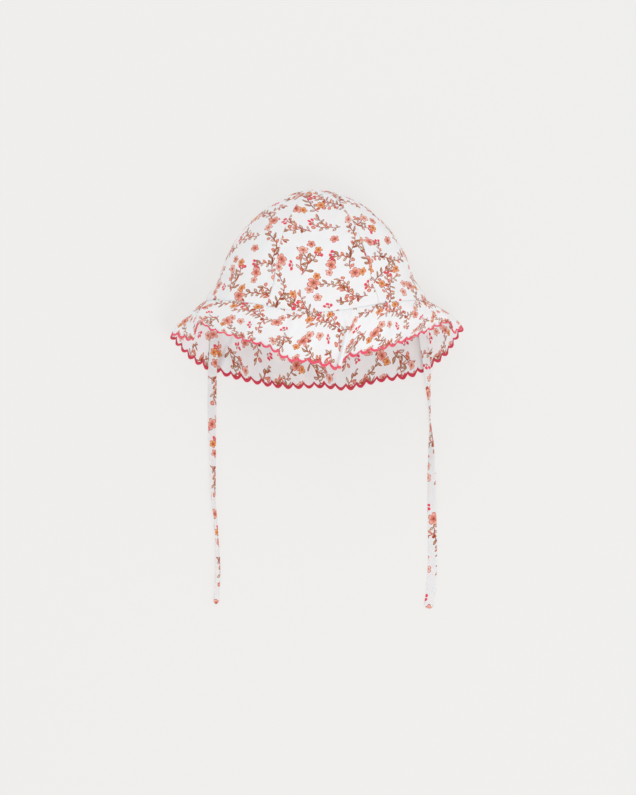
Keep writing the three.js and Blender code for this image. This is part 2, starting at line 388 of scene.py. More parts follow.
def closed_curve(points, places):
    """A centripetal Catmull-Rom curve through a closed ring of points, at places counted in points."""
    count = len(points)
    whole = np.floor(places).astype(int)
    part = (places - whole)[..., None]
    before, start, end, after = (points[(whole + k) % count] for k in (-1, 0, 1, 2))
    gap_before, gap, gap_after = (
        np.sqrt(np.linalg.norm(b - a, axis=-1, keepdims=True))
        for a, b in ((before, start), (start, end), (end, after))
    )
    leave = (start - before) / gap_before - (end - before) / (gap_before + gap) + (end - start) / gap
    arrive = (end - start) / gap - (after - start) / (gap + gap_after) + (after - end) / gap_after
    leave, arrive = leave * gap, arrive * gap
    return (
        start
        + leave * part
        + (-3 * start + 3 * end - 2 * leave - arrive) * part**2
        + (2 * start - 2 * end + leave + arrive) * part**3
    )


FOLD_TURNS = np.array([fold[0] for fold in EDGE_FOLDS], float)
FOLD_POINTS = np.array([fold[1:] for fold in EDGE_FOLDS]) * MM


def even_places(count):
    """Places on the edge that lie evenly along it, and the edge's whole length."""
    fine = np.linspace(0, len(EDGE_FOLDS), EDGE_SAMPLES)
    ring = settled(closed_curve(FOLD_POINTS, fine))
    run = np.concatenate(([0], np.cumsum(np.linalg.norm(np.diff(ring, axis=0), axis=1))))
    return np.interp(np.arange(count) / count * run[-1], run, fine), run[-1]


def turns_at(places):
    """The turn of the seam above each place."""
    turns = np.append(FOLD_TURNS, FOLD_TURNS[0] + 360)
    return np.interp(places, np.arange(len(turns)), turns)


def frill(places, reach):
    """The frill's smooth outer face, with reach 0 at the seam and 1 at the edge."""
    turns = turns_at(places)
    seam = crown(turns, np.ones_like(turns))
    edge = closed_curve(FOLD_POINTS, places)
    out = np.stack((np.cos(np.radians(turns)), np.zeros_like(turns), np.sin(np.radians(turns))), axis=-1)
    bow = (FRILL_BULGE * 4 * reach * np.maximum(1 - reach, 0))[..., None]
    share = reach[..., None]
    return settled(seam * (1 - share) + edge * share + bow * out)


# Meshes

def add_object(name, points, faces, corner_uv):
    mesh = bpy.data.meshes.new(name)
    mesh.from_pydata((points - MIDDLE_OF_HAT).tolist(), [], faces)
    layer = mesh.uv_layers.new(name="cloth")
    layer.data.foreach_set("uv", np.asarray(corner_uv, np.float32).ravel())
    mesh.polygons.foreach_set("use_smooth", [True] * len(mesh.polygons))
    mesh.update()
    obj = bpy.data.objects.new(name, mesh)
    bpy.context.scene.collection.objects.link(obj)
    return obj


def cloth_shell(name, outer, thickness, uv, wraps, first_normals=None):
    """A closed wall of cloth under a grid of points. uv has a column more than the grid where it wraps."""
    normals = grid_normals(outer, wraps)
    if first_normals is not None:
        normals[0] = first_normals
    inner = outer - normals * thickness[..., None]
    inner[..., 2] = np.maximum(inner[..., 2], 0)
    rows, columns = outer.shape[0] - 1, outer.shape[1] - (not wraps)
    count = outer.shape[1]

    def quads(*corners):
        """Joins arrays of (row, column, layer) corners into quads."""
        joined = [np.stack(np.broadcast_arrays(*corner), axis=-1).reshape(-1, 3) for corner in corners]
        return np.stack(joined, axis=1)

    r, c = np.meshgrid(np.arange(rows), np.arange(columns), indexing="ij")
    edge = np.arange(columns)
    parts = [
        quads((r, c, 0), (r, c + 1, 0), (r + 1, c + 1, 0), (r + 1, c, 0)),
        quads((r + 1, c, 1), (r + 1, c + 1, 1), (r, c + 1, 1), (r, c, 1)),
        quads((0, edge, 0), (0, edge, 1), (0, edge + 1, 1), (0, edge + 1, 0)),
        quads((rows, edge + 1, 0), (rows, edge + 1, 1), (rows, edge, 1), (rows, edge, 0)),
    ]
    if not wraps:
        side = np.arange(rows)
        parts += [
            quads((side + 1, 0, 0), (side + 1, 0, 1), (side, 0, 1), (side, 0, 0)),
            quads((side, columns, 0), (side, columns, 1), (side + 1, columns, 1), (side + 1, columns, 0)),
        ]
    corners = np.concatenate(parts)
    faces = 2 * (corners[..., 0] * count + corners[..., 1] % count) + corners[..., 2]
    points = np.stack((outer, inner), axis=2).reshape(-1, 3)
    corner_uv = uv[corners[..., 0], corners[..., 1]]
    return add_object(name, points, faces.tolist(), corner_uv.reshape(-1, 2))


def tube(name, rings, uv, closed):
    """A tube through rings of points, joined end to start or with flat caps."""
    count, sides = rings.shape[:2]
    steps = count if closed else count - 1
    i, j = np.meshgrid(np.arange(steps), np.arange(sides), indexing="ij")
    i, j = i.ravel(), j.ravel()
    around = ((i, j), (i, j + 1), (i + 1, j + 1), (i + 1, j))
    corners = np.stack([np.stack(corner, axis=1) for corner in around], axis=1)
    faces = ((corners[..., 0] % count) * sides + corners[..., 1] % sides).tolist()
    corner_uv = uv[corners[..., 0], corners[..., 1]].reshape(-1, 2)
    if not closed:
        first, last = list(range(sides))[::-1], list(range((count - 1) * sides, count * sides))
        faces = [*faces, first, last]
        caps = np.concatenate((uv[0, :sides][::-1], uv[count - 1, :sides]))
        corner_uv = np.concatenate((corner_uv, caps))
    return add_object(name, rings.reshape(-1, 3), faces, corner_uv)


# Camera, floor and lights

def make_camera():
    data = bpy.data.cameras.new("camera")
    data.sensor_width = SENSOR
    data.lens = SENSOR * CAMERA_DISTANCE / PICTURE_HEIGHT
    data.clip_end = 5 * CAMERA_DISTANCE
    camera = bpy.data.objects.new("camera", data)
    camera.location = (*CAMERA_AT, FOCUS_HEIGHT + CAMERA_DISTANCE)
    bpy.context.scene.collection.objects.link(camera)
    bpy.context.scene.camera = camera


def make_floor():
    """A pale floor that stays white right up to the hat's soft shadow."""
    mesh = bpy.data.meshes.new("floor")
    corners = [(x * FLOOR_REACH, y * FLOOR_REACH, FLOOR_Z) for x, y in ((-1, -1), (1, -1), (1, 1), (-1, 1))]
    mesh.from_pydata(corners, [], [(0, 1, 2, 3)])
    floor = bpy.data.objects.new("floor", mesh)
    bpy.context.scene.collection.objects.link(floor)
    material = bpy.data.materials.new("floor_paper")
    material.use_nodes = True
    shader = material.node_tree.nodes["Principled BSDF"]
    shader.inputs["Base Color"].default_value = FLOOR_COLOUR
    shader.inputs["Roughness"].default_value = 0.9
    shader.inputs["Specular IOR Level"].default_value = 0.0
    shader.inputs["Emission Color"].default_value = FLOOR_GLOW
    shader.inputs["Emission Strength"].default_value = FLOOR_GLOW_STRENGTH
    mesh.materials.append(material)


def make_lights():
    world = bpy.data.worlds.new("studio")
    world.use_nodes = True
    background = world.node_tree.nodes["Background"]
    background.inputs["Color"].default_value = (1, 1, 1, 1)
    background.inputs["Strength"].default_value = WORLD_STRENGTH
    bpy.context.scene.world = world
    for name, place, power, size in LIGHTS:
        data = bpy.data.lights.new(name, "AREA")
        data.size = size
        data.energy = power
        light = bpy.data.objects.new(name, data)
        light.location = place
        aim = Vector(LIGHTS_AIM) - light.location
        light.rotation_euler = aim.to_track_quat("-Z", "Y").to_euler()
        bpy.context.scene.collection.objects.link(light)
    settings = bpy.context.scene.view_settings
    settings.view_transform = "Standard"
    settings.look = "None"


# Materials. The print is charted on a square that repeats, in units of the chart.
CHART_UNIT = 1.12  # millimetres of cloth
REPEAT = 72
SOFT_EDGE = 0.18  # how softly the ink ends
THREAD_PITCH = 0.38  # millimetres from one yarn to the next
STITCH_PITCH = 0.45  # millimetres from one stitch of the edging to the next

# Vines: where one starts, its heading in degrees, then the radius and length of each of its bends. A
# positive radius turns left.
VINES = {
    "low": (2, 12, 40, ((30, 20), (-22, 22))),
    "middle": (38, 6, 100, ((-28, 20), (20, 20))),
    "high": (70, 40, 120, ((26, 18), (-14, 18))),
    "top": (30, 58, 170, ((-14, 20),)),
    "side": (52, 2, 20, ((14, 20),)),
    "rising": (56, 24, 78, ((26, 17),)),
}
# Branches: the vine, the distance along it, the turn away from it in degrees, then radius and length
BRANCHES = (
    ("low", 8, -60, 14, 12),
    ("low", 16, 55, -12, 13),
    ("middle", 8, 60, 12, 12),
    ("middle", 15, -60, 13, 12),
    ("middle", 28, -50, 14, 12),
    ("high", 8, -60, -14, 12),
    ("high", 16, 65, -12, 11),
    ("top", 2, -65, 15, 10),
    ("top", 10, 60, -12, 11),
    ("side", 10, -50, 12, 11),
)
# Blossoms: place, radius, rotation in degrees and kind
BLOSSOMS = (
    (27, 47.5, 4.9, 10, "coral"),
    (33, 44, 3.5, 40, "pink"),
    (22, 51, 3.1, 25, "orange"),
    (37.5, 4, 4.6, 60, "coral"),
    (43.5, 1, 3.4, 15, "pink"),
    (69.5, 35, 4.7, 50, "coral"),
    (64.5, 31, 3.3, 5, "orange"),
    (6.5, 52.5, 4.3, 30, "coral"),
    (12, 48.5, 3.0, 0, "pink"),
    (51, 29, 3.5, 20, "orange"),
    (17, 1.5, 3.7, 45, "pink"),
    (64, 67.5, 3.7, 33, "coral"),
    (8, 68, 3.2, 12, "orange"),
    (31.5, 35.5, 3.4, 50, "pink"),
    (9, 3.5, 3.3, 20, "coral"),
    (47, 49, 3.3, 28, "orange"),
)
# Berry sprigs: place, heading in degrees and reach
BERRIES = (
    (50, 38, 70, 3.6),
    (72, 57, 30, 3.4),
    (12, 64, 150, 3.4),
    (67, 17, 60, 3.6),
    (30, 24, 110, 3.4),
    (31, 67, 30, 3.4),
)
# Linear colours of each kind of blossom: petals, their shaded inner part, and its lines
BLOSSOM_COLOURS = {
    "coral": ((0.87, 0.46, 0.37, 1), (0.68, 0.145, 0.095, 1), (0.47, 0.05, 0.03, 1)),
    "pink": ((0.88, 0.62, 0.52, 1), (0.78, 0.26, 0.19, 1), (0.56, 0.085, 0.055, 1)),
    "orange": ((0.87, 0.46, 0.18, 1), (0.74, 0.19, 0.05, 1), (0.52, 0.085, 0.03, 1)),
}
BLOSSOM_EYE = (0.30, 0.09, 0.045, 1)
CLOTH_WHITES = ((0.84, 0.84, 0.85, 1), (0.89, 0.89, 0.90, 1))
# The ties' white is a greyer copy of the cloth's white: painted shade that darkens the ties
TIE_SHADED_WHITES = ((0.77, 0.762, 0.766, 1), (0.82, 0.812, 0.816, 1))  # greyer, set from the photo
BERRY_COLOUR = (0.80, 0.065, 0.115, 1)
# The edging's inside face is a deeper red than its outside: partly its own deeper thread, partly painted
# shade
EDGING_OUTSIDE = ((0.89, 0.05, 0.12, 1), (0.98, 0.12, 0.2, 1))
EDGING_INSIDE_THREAD_AND_SHADE = ((0.58, 0.012, 0.045, 1), (0.76, 0.034, 0.085, 1))
BUD_COLOUR = (0.82, 0.34, 0.28, 1)
LEAF_FILLS = (
    (0, (0.59, 0.57, 0.38)),
    (0.28, (0.60, 0.67, 0.64)),
    (0.46, (0.78, 0.35, 0.21)),
    (0.75, (0.54, 0.30, 0.14)),
)
LEAF_INKS = (
    (0, (0.42, 0.062, 0.013)),
    (0.4, (0.56, 0.088, 0.022)),
    (0.75, (0.31, 0.052, 0.013)),
)


class Nodes:
    """Short ways to add nodes to a tree. A number or a socket may be given for any input.

    A long tree fits in the shader's memory only if its nodes are added in the order in which they work,
    join sockets of one type and don't clamp. So a mask runs past 0 and 1, two masks join by MAXIMUM or
    MINIMUM, and the node that mixes by one cuts it off.
    """

    def __init__(self, tree):
        self.tree = tree

    def put(self, socket, value):
        if isinstance(value, bpy.types.NodeSocket):
            self.tree.links.new(value, socket)
        else:
            socket.default_value = value

    def node(self, kind, settings=None, **inputs):
        node = self.tree.nodes.new(kind)
        for key, value in (settings or {}).items():
            setattr(node, key, value)
        for key, value in inputs.items():
            self.put(node.inputs[key.replace("_", " ")], value)
        return node

    def math(self, operation, *values):
        node = self.node("ShaderNodeMath", {"operation": operation})
        for socket, value in zip(node.inputs, values):
            self.put(socket, value)
        return node.outputs[0]

    def vector(self, operation, *values, output=0):
        node = self.node("ShaderNodeVectorMath", {"operation": operation})
        for socket, value in zip(node.inputs, values):
            self.put(socket, value)
        return node.outputs[output]

    def part(self, vector, axis):
        """How far a vector reaches along an axis."""
        return self.vector("DOT_PRODUCT", vector, axis, output=1)

    def far(self, x, y):
        """The distance from the origin."""
        return self.vector("LENGTH", self.node("ShaderNodeCombineXYZ", X=x, Y=y).outputs[0], output=1)

    def weighed(self, first, first_share, second, second_share):
        return self.math("MULTIPLY_ADD", first, first_share, self.math("MULTIPLY", second, second_share))

    def mix(self, factor, first, second):
        node = self.node("ShaderNodeMix", {"data_type": "RGBA"})
        self.put(node.inputs[0], factor)
        self.put(node.inputs[6], first)
        self.put(node.inputs[7], second)
        return node.outputs[2]

    def ramp(self, factor, stops):
        node = self.node("ShaderNodeValToRGB", Fac=factor)
        node.color_ramp.interpolation = "CONSTANT"
        elements = node.color_ramp.elements
        for element, (place, colour) in zip(elements, stops):
            element.position, element.color = place, (*colour, 1)
        for place, colour in stops[2:]:
            elements.new(place).color = (*colour, 1)
        return node.outputs[0]

    def most(self, *values):
        return functools.reduce(lambda a, b: self.math("MAXIMUM", a, b), values)

    def least(self, *values):
        return functools.reduce(lambda a, b: self.math("MINIMUM", a, b), values)

    def inside(self, distance):
        """A mask of where a distance is below zero, with a soft edge."""
        return self.math("MULTIPLY_ADD", distance, -1 / SOFT_EDGE, 0.5)

    def within(self, distance, middle, half):
        """A mask of where a distance is within half of a middle."""
        off = self.math("ABSOLUTE", self.math("SUBTRACT", distance, middle))
        return self.inside(self.math("SUBTRACT", off, half))

    def lens(self, along, across, length, half_width):
        """How far outside a pointed leaf a point is. along runs from 0 to the leaf's length."""
        share = self.math("MULTIPLY_ADD", self.math("DIVIDE", along, length), 2, -1)
        wide = self.math("SUBTRACT", 1, self.math("MULTIPLY", share, share))
        return self.math("SUBTRACT", self.math("ABSOLUTE", across), self.math("MULTIPLY", wide, half_width))

    def bar(self, along, across, length, half_width):
        """How far outside a straight stalk a point is."""
        half = length / 2
        past = self.math("SUBTRACT", self.math("ABSOLUTE", self.math("SUBTRACT", along, half)), half)
        beside = self.math("SUBTRACT", self.math("ABSOLUTE", across), half_width)
        return self.most(past, beside)


def start_motif(name, sizes, colours=()):
    """A node group that paints a motif over a colour, and each point's place in the motif's own axes."""
    group = bpy.data.node_groups.new(name, "ShaderNodeTree")
    sockets = [(key, "Vector") for key in ("Cloth", "Middle", "Along", "Across")] + [("Under", "Color")]
    sockets += [(key, "Float") for key in sizes] + [(key, "Color") for key in colours]
    for key, kind in sockets:
        group.interface.new_socket(key, in_out="INPUT", socket_type=f"NodeSocket{kind}")
    group.interface.new_socket("Painted", in_out="OUTPUT", socket_type="NodeSocketColor")
    n = Nodes(group)
    given = group.nodes.new("NodeGroupInput").outputs
    half = REPEAT / 2
    away = n.vector("WRAP", n.vector("SUBTRACT", given["Cloth"], given["Middle"]), [half] * 3, [-half] * 3)
    return group, n, given, n.part(away, given["Along"]), n.part(away, given["Across"])


def finish_motif(group, n, colour):
    n.put(group.nodes.new("NodeGroupOutput").inputs["Painted"], colour)
    return group


LEAF_PITCH = 4.9
LEAF_LENGTH = 5.2
LEAF_HALF_WIDTH = 0.7
LEAF_OUTLINE = 0.26
STEM_HALF_WIDTH = 0.36
STALK_HALF_WIDTH = 0.2
FAR = 9  # a distance at which nothing is painted
BUD_REACH = 3.2
BUD_RADIUS = 1.15
BUD_SHARE = 0.22


@functools.cache
def make_stem_group():
    """An arc of stem with leaves and buds by turns on its two sides, and a leaf at its tip."""
    group, n, given, x, y = start_motif("leafy_stem", ("Radius", "Half Length"))
    run = n.math("MULTIPLY", n.math("ARCTAN2", y, x), given["Radius"])
    off = n.math("SUBTRACT", n.far(x, y), n.math("ABSOLUTE", given["Radius"]))
    outside = n.math("GREATER_THAN", off, 0)
    off = n.math("ABSOLUTE", off)
    # Each side of the stem is cut in cells, half a cell out of step, and each cell holds a leaf or a bud
    cell = n.math("MULTIPLY_ADD", outside, 0.5, n.math("DIVIDE", run, LEAF_PITCH))
    number = n.math("FLOOR", cell)
    seed = n.math("MULTIPLY_ADD", number, 7.31, n.math("MULTIPLY_ADD", outside, 31.7, given["Radius"]))
    dice = n.node("ShaderNodeTexWhiteNoise", {"noise_dimensions": "1D"}, W=seed).outputs["Color"]
    chance, slant, kind = n.node("ShaderNodeSeparateColor", Color=dice).outputs
    ahead = n.math("MULTIPLY_ADD", n.math("SUBTRACT", cell, number), LEAF_PITCH, -0.25 * LEAF_PITCH)
    slant = n.math("MULTIPLY_ADD", slant, 0.7, 0.5)
    cosine, sine = n.math("COSINE", slant), n.math("SINE", slant)
    along = n.weighed(ahead, cosine, off, sine)
    across = n.weighed(off, cosine, n.math("MULTIPLY", ahead, -1), sine)
    length = n.math("MULTIPLY_ADD", chance, 0.4 * LEAF_LENGTH, 0.6 * LEAF_LENGTH)
    leaf = n.lens(n.math("SUBTRACT", along, 0.5), across, length, LEAF_HALF_WIDTH)
    # A share of the cells holds a bud in place of the leaf, and none grows past the stem's ends
    base = n.math("MULTIPLY_ADD", outside, -0.5, n.math("ADD", number, 0.25))
    past = n.math("SUBTRACT", n.math("ABSOLUTE", n.math("MULTIPLY", base, LEAF_PITCH)), given["Half Length"])
    is_bud = n.math("MULTIPLY_ADD", n.math("LESS_THAN", kind, BUD_SHARE), 2 * FAR, -FAR)
    leaf = n.most(leaf, past, is_bud)
    tip = n.lens(n.math("SUBTRACT", run, given["Half Length"]), off, LEAF_LENGTH, LEAF_HALF_WIDTH)
    leaf = n.least(leaf, tip)
    bud = n.math("SUBTRACT", n.far(n.math("SUBTRACT", along, BUD_REACH), across), BUD_RADIUS)
    stalk = n.bar(along, across, BUD_REACH - BUD_RADIUS, STALK_HALF_WIDTH)
    no_bud = n.most(past, n.math("MULTIPLY", is_bud, -1))
    bud = n.most(bud, no_bud)
    stem = n.math("SUBTRACT", off, STEM_HALF_WIDTH)
    stem = n.most(stem, n.math("SUBTRACT", n.math("ABSOLUTE", run), given["Half Length"]))
    ink = n.least(stem, n.most(stalk, no_bud))
    ink = n.least(ink, n.math("SUBTRACT", n.math("ABSOLUTE", n.least(leaf, bud)), LEAF_OUTLINE))
    colour = n.mix(n.least(n.inside(leaf), 0.92), given["Under"], n.ramp(chance, LEAF_FILLS))
    colour = n.mix(n.inside(bud), colour, BUD_COLOUR)
    return finish_motif(group, n, n.mix(n.least(n.inside(ink), 0.94), colour, n.ramp(chance, LEAF_INKS)))


@functools.cache
def make_blossom_group():
    """Five petals with drawn edges, a shaded middle and an eye."""
    group, n, given, x, y = start_motif("blossom", ("Size",), ("Petals", "Shaded", "Lines"))
    angle = n.math("ARCTAN2", y, x)
    reach = n.math("DIVIDE", n.far(x, y), given["Size"])
    wave = n.math("ABSOLUTE", n.math("COSINE", n.math("MULTIPLY", angle, 2.5)))
    rim = n.math("MULTIPLY_ADD", n.math("POWER", wave, 0.5), 0.5, 0.5)
    distance = n.math("MULTIPLY", n.math("SUBTRACT", reach, rim), given["Size"])
    petal = n.inside(distance)
    gap = n.inside(n.math("MULTIPLY_ADD", wave, 3, -0.55))
    vein = n.math("GREATER_THAN", n.math("COSINE", n.math("MULTIPLY", angle, 20)), 0.5)
    vein = n.least(vein, n.math("LESS_THAN", reach, 0.5), 0.6)
    line = n.least(n.most(n.within(distance, -0.22, 0.24), gap, vein), petal)
    shade = n.least(n.math("MULTIPLY_ADD", reach, -1.6, 1.2), petal)
    eye = n.inside(n.math("MULTIPLY", n.math("SUBTRACT", reach, 0.18), given["Size"]))
    colour = n.mix(petal, given["Under"], given["Petals"])
    colour = n.mix(shade, colour, given["Shaded"])
    colour = n.mix(line, colour, given["Lines"])
    return finish_motif(group, n, n.mix(eye, colour, BLOSSOM_EYE))


BERRY_RADIUS = 1.25
BERRY_SPREAD = math.radians(50)


@functools.cache
def make_berry_group():
    """Three berries on stalks that spread from one point."""
    group, n, given, x, y = start_motif("berry_sprig", ("Reach",))
    angle = n.math("ARCTAN2", y, x)
    which = n.math("ROUND", n.math("DIVIDE", angle, BERRY_SPREAD))
    which = n.least(n.most(which, -1), 1)
    apart = n.math("MULTIPLY_ADD", which, -BERRY_SPREAD, angle)
    length = n.far(x, y)
    along = n.math("MULTIPLY", length, n.math("COSINE", apart))
    across = n.math("MULTIPLY", length, n.math("SINE", apart))
    berry = n.math("SUBTRACT", n.far(n.math("SUBTRACT", along, given["Reach"]), across), BERRY_RADIUS)
    beside = n.math("SUBTRACT", n.math("ABSOLUTE", across), 0.24)
    stalk = n.most(beside, n.math("SUBTRACT", along, given["Reach"]), n.math("MULTIPLY", along, -1))
    colour = n.mix(n.inside(stalk), given["Under"], (*LEAF_INKS[0][1], 1))
    return finish_motif(group, n, n.mix(n.inside(berry), colour, BERRY_COLOUR))


def facing(x, y, angle):
    """A motif's place, and its own axes turned by an angle in radians."""
    cosine, sine = math.cos(angle), math.sin(angle)
    return {"Middle": (x, y, 0), "Along": (cosine, sine, 0), "Across": (-sine, cosine, 0)}


def walk(x, y, heading, bends):
    """Each bend of a vine, as a circle turned so that +X points from its middle to the bend's own middle."""
    for radius, length in bends:
        side = math.radians(heading)
        middle = (x - math.sin(side) * radius, y + math.cos(side) * radius)
        halfway = side + length / 2 / radius
        toward = math.atan2(-math.cos(halfway) * radius, math.sin(halfway) * radius)
        yield {**facing(*middle, toward), "Radius": radius, "Half Length": length / 2}
        heading += math.degrees(length / radius)
        side = math.radians(heading)
        x, y = middle[0] + math.sin(side) * radius, middle[1] - math.cos(side) * radius


def place_on(vine, distance):
    """Where a vine is after a distance, and its heading there."""
    x, y, heading, bends = VINES[vine]
    for radius, length in bends:
        step = min(length, distance)
        side, ahead = math.radians(heading), math.radians(heading) + step / radius
        x += (math.sin(ahead) - math.sin(side)) * radius
        y += (math.cos(side) - math.cos(ahead)) * radius
        heading, distance = math.degrees(ahead), distance - step
    return x, y, heading


def all_stems():
    for vine in VINES.values():
        yield from walk(*vine)
    for vine, distance, turn, radius, length in BRANCHES:
        x, y, heading = place_on(vine, distance)
        yield from walk(x, y, heading + turn, ((radius, length),))


def hand_drawn(n, cloth):
    """Bends the cloth's coordinates a little, so that the lines waver and no two repeats are quite alike."""
    cloth = n.vector("MULTIPLY", cloth, [1 / CHART_UNIT] * 3)
    for scale, reach in ((0.045, 5), (0.3, 1.1)):
        bend = n.node("ShaderNodeTexNoise", Vector=cloth, Scale=scale, Detail=0.0).outputs["Color"]
        bend = n.vector("SUBTRACT", bend, (0.5, 0.5, 0.5))
        cloth = n.vector("MULTIPLY_ADD", bend, (reach, reach, 0), cloth)
    return cloth


def print_colour(n, cloth, colour):
    """The cloth's colour with the print over it. cloth is the place on the cloth, in millimetres."""
    def paint(group, sizes):
        node = n.node("ShaderNodeGroup", {"node_tree": group})
        for key, value in {"Cloth": cloth, "Under": colour, **sizes}.items():
            n.put(node.inputs[key], value)
        return node.outputs["Painted"]

    stem_group, blossom_group, berry_group = make_stem_group(), make_blossom_group(), make_berry_group()
    for stem in all_stems():
        colour = paint(stem_group, stem)
    for x, y, heading, reach in BERRIES:
        colour = paint(berry_group, {**facing(x, y, math.radians(heading)), "Reach": reach})
    for x, y, size, rotation, kind in BLOSSOMS:
        colours = dict(zip(("Petals", "Shaded", "Lines"), BLOSSOM_COLOURS[kind]))
        colour = paint(blossom_group, {**facing(x, y, math.radians(rotation)), "Size": size, **colours})
    return colour


def make_cotton(name, whites):
    """Printed cotton, whose white wanders between two colours."""
    material = bpy.data.materials.new(name)
    material.use_nodes = True
    n = Nodes(material.node_tree)
    shader = material.node_tree.nodes["Principled BSDF"]
    cloth = n.node("ShaderNodeUVMap", {"uv_map": "cloth"}).outputs[0]
    slub = n.node("ShaderNodeTexNoise", Vector=cloth, Scale=0.08, Detail=3.0, Roughness=0.6).outputs[0]
    white = n.mix(slub, *whites)
    n.put(shader.inputs["Base Color"], print_colour(n, hand_drawn(n, cloth), white))
    # Plain weave: warp and weft yarns pass over each other by turns
    turns = 2 * math.pi / THREAD_PITCH
    warp = n.math("SINE", n.part(cloth, (turns, 0, 0)))
    weft = n.math("SINE", n.part(cloth, (0, turns, 0)))
    weave = n.math("MULTIPLY", warp, weft)
    fine = n.node("ShaderNodeTexNoise", Vector=cloth, Scale=0.55, Detail=4.0, Roughness=0.6).outputs[0]
    height = n.math("MULTIPLY_ADD", fine, 1.6, n.math("MULTIPLY", weave, 0.25))
    bump = n.node("ShaderNodeBump", Height=height, Strength=0.3, Distance=0.00025)
    n.put(shader.inputs["Normal"], bump.outputs[0])
    n.put(shader.inputs["Roughness"], n.math("MULTIPLY_ADD", fine, 0.12, 0.8))
    shader.inputs["Specular IOR Level"].default_value = 0.25
    shader.inputs["Sheen Weight"].default_value = 0.2
    shader.inputs["Sheen Roughness"].default_value = 0.5
    # Some light passes through the thin cloth, more of the red
    shader.inputs["Subsurface Weight"].default_value = 0.4
    shader.inputs["Subsurface Radius"].default_value = (1, 0.6, 0.5)
    shader.inputs["Subsurface Scale"].default_value = 0.0007
    return material


def make_edging_thread():
    material = bpy.data.materials.new("edging_thread")
    material.use_nodes = True
    n = Nodes(material.node_tree)
    shader = material.node_tree.nodes["Principled BSDF"]
    cloth = n.node("ShaderNodeUVMap", {"uv_map": "cloth"}).outputs[0]
    patchy = n.node("ShaderNodeTexNoise", Vector=cloth, Scale=0.35, Detail=2.0).outputs[0]
    outside = n.mix(patchy, *EDGING_OUTSIDE)
    # The face turned in gets the deeper red: its own thread and painted shade
    inside = n.mix(patchy, *EDGING_INSIDE_THREAD_AND_SHADE)
    turned_in = n.math("GREATER_THAN", n.part(cloth, (0, 1, 0)), EDGING_SIDES * EDGING_UV_STEP / 2)
    n.put(shader.inputs["Base Color"], n.mix(turned_in, outside, inside))
    stitch = n.math("ABSOLUTE", n.math("SINE", n.part(cloth, (math.pi / STITCH_PITCH, 0, 0))))
    height = n.math("MULTIPLY_ADD", patchy, 0.6, stitch)
    bump = n.node("ShaderNodeBump", Height=height, Strength=0.5, Distance=0.0003)
    n.put(shader.inputs["Normal"], bump.outputs[0])
    n.put(shader.inputs["Roughness"], n.math("MULTIPLY_ADD", patchy, 0.2, 0.45))
    shader.inputs["Sheen Weight"].default_value = 0.3
    return material


# Pieces

def tie_section(width, thickness):
    """A strip's cross-section: two soft long faces and round edges."""
    angle = np.arange(TIE_SIDES) / TIE_SIDES * 2 * math.pi
    across = np.sign(np.cos(angle)) * np.abs(np.cos(angle)) ** 0.5 * width / 2
    up = np.sign(np.sin(angle)) * np.abs(np.sin(angle)) ** 0.8 * thickness / 2
    return across, up


def make_tie(side, material):
    route = np.array(TIES[side]["route"]) * MM
    lie = np.array(TIES[side]["lie"])
    extended = np.concatenate(([2 * route[0] - route[1]], route, [2 * route[-1] - route[-2]]))
    fine = closed_curve(extended, np.linspace(1, len(route), TIE_SAMPLES)[:-1])
    run = np.concatenate(([0], np.cumsum(np.linalg.norm(np.diff(fine, axis=0), axis=1))))
    shares = np.linspace(0, 1, TIE_RINGS)
    path = np.stack([np.interp(shares * run[-1], run, fine[:, k]) for k in range(3)], axis=1)
    width = np.interp(shares, lie[:, 0], lie[:, 1]) * MM
    roll = np.radians(np.interp(shares, lie[:, 0], lie[:, 2]))
    ends = np.minimum(shares, 1 - shares) * run[-1]
    rounded = np.sqrt(np.clip(ends / TIE_END_ROUND, TIE_END_SHARE, 1))
    wobble = noise_at(np.stack((shares * run[-1], shares * 0), 1), TIE_WOBBLE_CELL, TIES[side]["seed"])
    width = width * (1 + TIE_WOBBLE * wobble)
    thickness = TIE_THICKNESS * (TIE_WIDTH / width) ** 0.7
    along = unit(np.gradient(path, axis=0))
    across = unit(np.cross(along, [0, 0, 1]))
    up = np.cross(across, along)
    flat_dir = across * np.cos(roll)[:, None] + up * np.sin(roll)[:, None]
    thick_dir = np.cross(flat_dir, along)
    # A rolled strip stands on its lower edge
    half_height = np.abs(np.sin(roll)) * width / 2 + np.abs(np.cos(roll)) * thickness / 2
    lift = np.maximum(half_height + TIE_CLEARANCE - path[:, 2], 0)
    path = path + lift[:, None] * np.array([0, 0, 1])
    sections = [tie_section(w * r, t * r) for w, t, r in zip(width, thickness, rounded)]
    rings = np.array([
        p + a[:, None] * f + u[:, None] * t
        for p, f, t, (a, u) in zip(path, flat_dir, thick_dir, sections)
    ])
    rings[..., 2] = np.maximum(rings[..., 2], 0)
    ring_steps = np.linalg.norm(np.roll(rings, -1, axis=1) - rings, axis=2)
    around = np.concatenate((np.zeros((len(rings), 1)), np.cumsum(ring_steps, axis=1)), axis=1)
    around -= around[:, TIE_SIDES // 4 : TIE_SIDES // 4 + 1]
    uv = np.stack((around, shares[:, None] * run[-1] + 0 * around), axis=-1) / MM
    # From the free end back, so that the faces look outward
    tie = tube(f"tie_{side}_strip", rings[::-1], (uv + TIES[side]["cut"])[::-1], closed=False)
    tie.data.materials.append(material)
    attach(tie, "root")
    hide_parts(f"tie_{side}")


def seam_groove(distance, height):
    """The soft welt on both sides of a seam, which leaves the seam itself where it is."""
    near = 1 - np.exp(-distance / WELT_RISE)
    return height * near * (1 - smoothstep(distance, *WELT_SINKS))


def folded_back(distance):
    """1 where a seam allowance lies inside the cloth, with a sharp end."""
    return 1 - smoothstep(distance, SEAM_ALLOWANCE - ALLOWANCE_EDGE, SEAM_ALLOWANCE)


